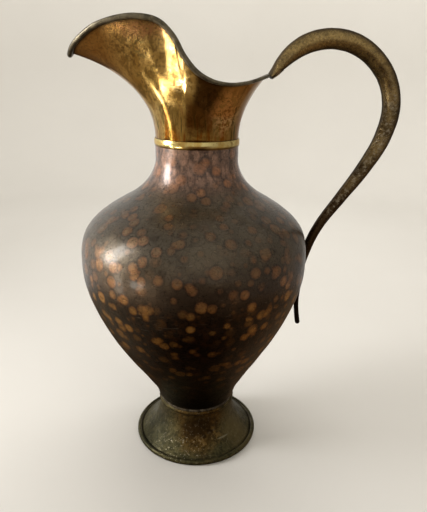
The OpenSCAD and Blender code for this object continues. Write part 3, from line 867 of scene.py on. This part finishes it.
def olive_bronze():
    n = Net("olive_bronze_detail")
    z = n.height()
    cloud = n.noise(0.045, 5, 0.6)
    fine = n.noise(0.004, 5, 0.7)
    base = n.mix(n.step(cloud, 0.38, 0.62), (0.085, 0.058, 0.026), (0.400, 0.285, 0.125))
    high = n.step(z, 0.56, 0.66)
    base = n.mix(n.times(high, n.step(n.noise(0.02, 4), 0.32, 0.58, 0.20, 0.90)), base,
                 (0.60, 0.42, 0.165))
    lower = n.step(z, 0.51, 0.40)
    base = n.mix(n.times(lower, 0.90), base, (0.040, 0.019, 0.008))
    mottle = n.step(n.noise(0.0036, 5, 0.75), 0.40, 0.62)
    base = n.mix(n.times(mottle, n.step(z, 0.40, 0.52, 0.10, 0.55)), base, (0.090, 0.056, 0.024))
    # Chased scales down the arc, as bump only, and pale worn flecks where it faces the eye, partly
    # a painted highlight
    scale = n.cells(0.0062, n.stretched((1, 1, 0.85)), 0.7)
    arc = n.times(n.step(z, 0.64, 0.56), n.step(z, 0.37, 0.44))
    worn_flecks_and_sheen = n.times(n.step(n.noise(0.0052, 5, 0.78), 0.50, 0.60), n.step(n.edge(), 0.30, 0.10))
    base = n.mix(n.times(n.times(arc, worn_flecks_and_sheen), 0.60), base, (0.52, 0.45, 0.33))
    speck = n.step(n.noise(0.0028, 4, 0.7), 0.58, 0.66)
    base = n.mix(n.times(n.times(speck, n.step(z, 0.36, 0.44)), 0.45), base, (0.52, 0.42, 0.25))
    # Painted shade: darker towards the outline
    edge = n.step(n.edge(), 0.06, 0.46)
    base = n.mix(n.times(edge, 0.85), base, (0.040, 0.024, 0.012))
    tail = n.step(z, 0.33, 0.27)
    base = n.mix(n.times(tail, 0.9), base, (0.016, 0.010, 0.007))
    bare = n.patch(n.warped(0.006, 0.004), (118, -8, 616), (1, 0.6, 1), 4, 3)
    base = n.mix(n.times(bare, 0.8), base, (0.60, 0.42, 0.24))
    n.bump(n.times(scale.outputs["Distance"], arc), -0.0009, 0.6)
    n.bump(fine, 0.0005, 0.6)
    rough = n.math("MAXIMUM", n.step(n.noise(0.003, 4), 0.3, 0.7, 0.22, 0.40),
                   n.step(edge, 0.4, 1.0, 0.0, 0.65))
    return n.finish(base, rough, 0.92)


def solder():
    n = Net("solder_detail")
    cloud = n.noise(0.006, 5, 0.65)
    base = n.mix(n.step(cloud, 0.40, 0.66), (0.045, 0.036, 0.026), (0.150, 0.120, 0.080))
    bright = n.step(n.noise(0.007, 4, 0.7), 0.58, 0.64)
    base = n.mix(n.times(bright, 0.85), base, (0.72, 0.68, 0.58))
    n.bump(cloud, 0.0006, 0.7)
    return n.finish(base, n.step(cloud, 0.3, 0.7, 0.35, 0.55), 0.8)


def dress(obj, *materials):
    obj.data.materials.clear()
    for m in materials:
        obj.data.materials.append(m)


copper, brass, rim_bronze = patinated_copper(), aged_brass(), rolled_rim()
ring_brass, green_brass = polished_brass(), verdigris_brass()
bronze, grey_solder = olive_bronze(), solder()
for obj, material in ((body_lower, copper), (body_upper, copper), (foot, green_brass),
                      (foot_collar, green_brass), (foot_solder, grey_solder),
                      (neck_ring, ring_brass), (neck_solder, grey_solder), (handle, bronze),
                      (tip_plug, bronze), (tongue, bronze), (braze, grey_solder)):
    dress(obj, material)
dress(spout, brass, rim_bronze)
# The roll, from where the sheet turns over, is bronze
first_roll = (len(face) - 1) * columns
last_roll = (len(face) + INNER_ROLL_STEPS + OUTER_ROLL_STEPS + 1) * columns
spout.data.polygons.foreach_set(
    "material_index",
    [1 if first_roll <= p.vertices[0] < last_roll else 0 for p in spout.data.polygons])
for name in ("foot_edge_wire", "rim_wire"):
    dress(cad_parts[name], rim_bronze)


# ---- Stage, light and camera ------------------------------------------------------------------

def floor():
    """A pale round floor that curves up into a pale wall; the metal reflects the room instead."""
    profile = [(0.001, 0.0), (1.0, 0.0), (1.9, 0.0)]
    profile += [(1.9 + 0.7 * math.sin(t), 0.7 - 0.7 * math.cos(t))
                for t in np.linspace(0.1, math.pi / 2, 14)]
    profile += [(2.6, 1.6), (2.6, 3.2)]
    sides = 96
    points = [(r * math.cos(a), r * math.sin(a), z) for r, z in profile
              for a in np.linspace(0, 2 * math.pi, sides, endpoint=False)]
    mesh = bpy.data.meshes.new("floor")
    mesh.from_pydata(points, [], grid_faces(len(profile), sides))
    mesh.polygons.foreach_set("use_smooth", [True] * len(mesh.polygons))
    obj = bpy.data.objects.new("floor", mesh)
    bpy.context.scene.collection.objects.link(obj)
    obj.visible_glossy = False
    n = Net("pale_floor")
    dress(obj, n.finish(n.mix(n.noise(0.4, 3), (0.66, 0.64, 0.60), (0.70, 0.68, 0.64)), 0.8, 0.0))


def area_light(name, place, aim, size, power, colour, mirrored_in_metal=False, spread=180):
    data = bpy.data.lights.new(name, "AREA")
    data.shape = "RECTANGLE"
    data.size, data.size_y = size
    data.energy = power
    data.color = colour
    data.spread = math.radians(spread)
    obj = bpy.data.objects.new(name, data)
    obj.location = place
    obj.rotation_euler = (Vector(aim) - Vector(place)).to_track_quat("-Z", "Y").to_euler()
    obj.visible_glossy = mirrored_in_metal
    obj.visible_camera = False
    bpy.context.scene.collection.objects.link(obj)


def room():
    """The room that the metal reflects: pale behind, greyer above and in front, brown below."""
    world = bpy.data.worlds.new("room")
    bpy.context.scene.world = world
    world.use_nodes = True
    tree = world.node_tree

    def node(kind, **values):
        made = tree.nodes.new("ShaderNode" + kind)
        for key, value in values.items():
            setattr(made, key, value)
        return made

    def ramp(socket, low, high):
        made = node("MapRange", interpolation_type="SMOOTHSTEP")
        tree.links.new(socket, made.inputs[0])
        made.inputs[1].default_value, made.inputs[2].default_value = low, high
        return made.outputs[0]

    def mix(share, a, b):
        made = node("Mix", data_type="RGBA")
        tree.links.new(share, made.inputs[0])
        for socket, item in ((made.inputs[6], a), (made.inputs[7], b)):
            if isinstance(item, tuple):
                socket.default_value = (*item, 1)
            else:
                tree.links.new(item, socket)
        return made.outputs[2]

    split = node("SeparateXYZ")
    tree.links.new(node("TexCoord").outputs["Generated"], split.inputs[0])
    ahead = mix(ramp(split.outputs[2], -0.17, -0.10), (0.090, 0.050, 0.024), (0.46, 0.43, 0.385))
    ahead = mix(ramp(split.outputs[0], -0.45, -0.70), ahead, (0.34, 0.29, 0.22))
    level = mix(ramp(split.outputs[1], -0.25, 0.75), ahead, (0.72, 0.70, 0.66))
    level = mix(ramp(split.outputs[0], 0.15, 0.85), level, (0.27, 0.24, 0.205))
    high = mix(ramp(split.outputs[2], 0.35, 0.95), level, (0.36, 0.345, 0.32))
    # Below, a lit floor on the window's side and a dark one in front
    right = mix(ramp(split.outputs[0], 0.15, 0.60), (0.040, 0.021, 0.010), (0.22, 0.14, 0.075))
    side = mix(ramp(split.outputs[0], -0.25, -0.62), right, (0.36, 0.29, 0.19))
    low = mix(ramp(split.outputs[2], -0.40, -0.48), high, side)
    seen = mix(node("LightPath").outputs["Is Camera Ray"], low, (0.80, 0.77, 0.71))
    tree.links.new(seen, tree.nodes["Background"].inputs["Color"])


floor()
room()
WARM_WHITE = (1.0, 0.95, 0.84)
area_light("window", (-1.55, 0.0, 0.95), (0, 0, 0.62), (0.46, 1.25), 9, (0.98, 0.975, 0.97),
           mirrored_in_metal=True, spread=95)
area_light("window_edge", (-1.05, -0.23, 0.17), (-0.03, -0.06, 0.55), (0.13, 0.50), 1.2,
           WARM_WHITE, mirrored_in_metal=True)
area_light("sunlit_floor", (-0.878, -0.574, 0.085), (-0.05, -0.07, 0.63), (0.255, 0.08), 0.75,
           WARM_WHITE, mirrored_in_metal=True)
area_light("front_fill", (0.7, -1.7, 1.6), (0, 0, 0.35), (1.4, 1.0), 12, (1.0, 0.95, 0.88))
area_light("top", (0.1, 0.4, 2.2), (0, 0, 0.2), (1.8, 1.8), 13, (1.0, 0.98, 0.95))
area_light("wall_wash", (0.3, 0.9, 2.3), (0.3, 2.5, 0.7), (2.2, 0.6), 34, (1.0, 0.985, 0.95))

# The camera's place in metres, and its turn about the jug, tilt and roll in degrees
CAMERA_AT = (-0.0814, -0.7767, 0.6156)
CAMERA_TURN, CAMERA_TILT, CAMERA_ROLL = -8, 70.125, 0.827
camera_data = bpy.data.cameras.new("camera")
camera_data.lens = 35.66
camera_data.sensor_width = 36
camera_data.sensor_fit = "AUTO"
camera_data.clip_start = 0.01
camera = bpy.data.objects.new("camera", camera_data)
bpy.context.scene.collection.objects.link(camera)
camera.matrix_world = (
    Matrix.Translation(CAMERA_AT) @ Matrix.Rotation(math.radians(CAMERA_TURN), 4, "Z")
    @ Matrix.Rotation(math.radians(CAMERA_TILT), 4, "X")
    @ Matrix.Rotation(math.radians(CAMERA_ROLL), 4, "Z"))
bpy.context.scene.camera = camera
bpy.context.scene.view_settings.view_transform = "Standard"

bpy.context.view_layer.update()
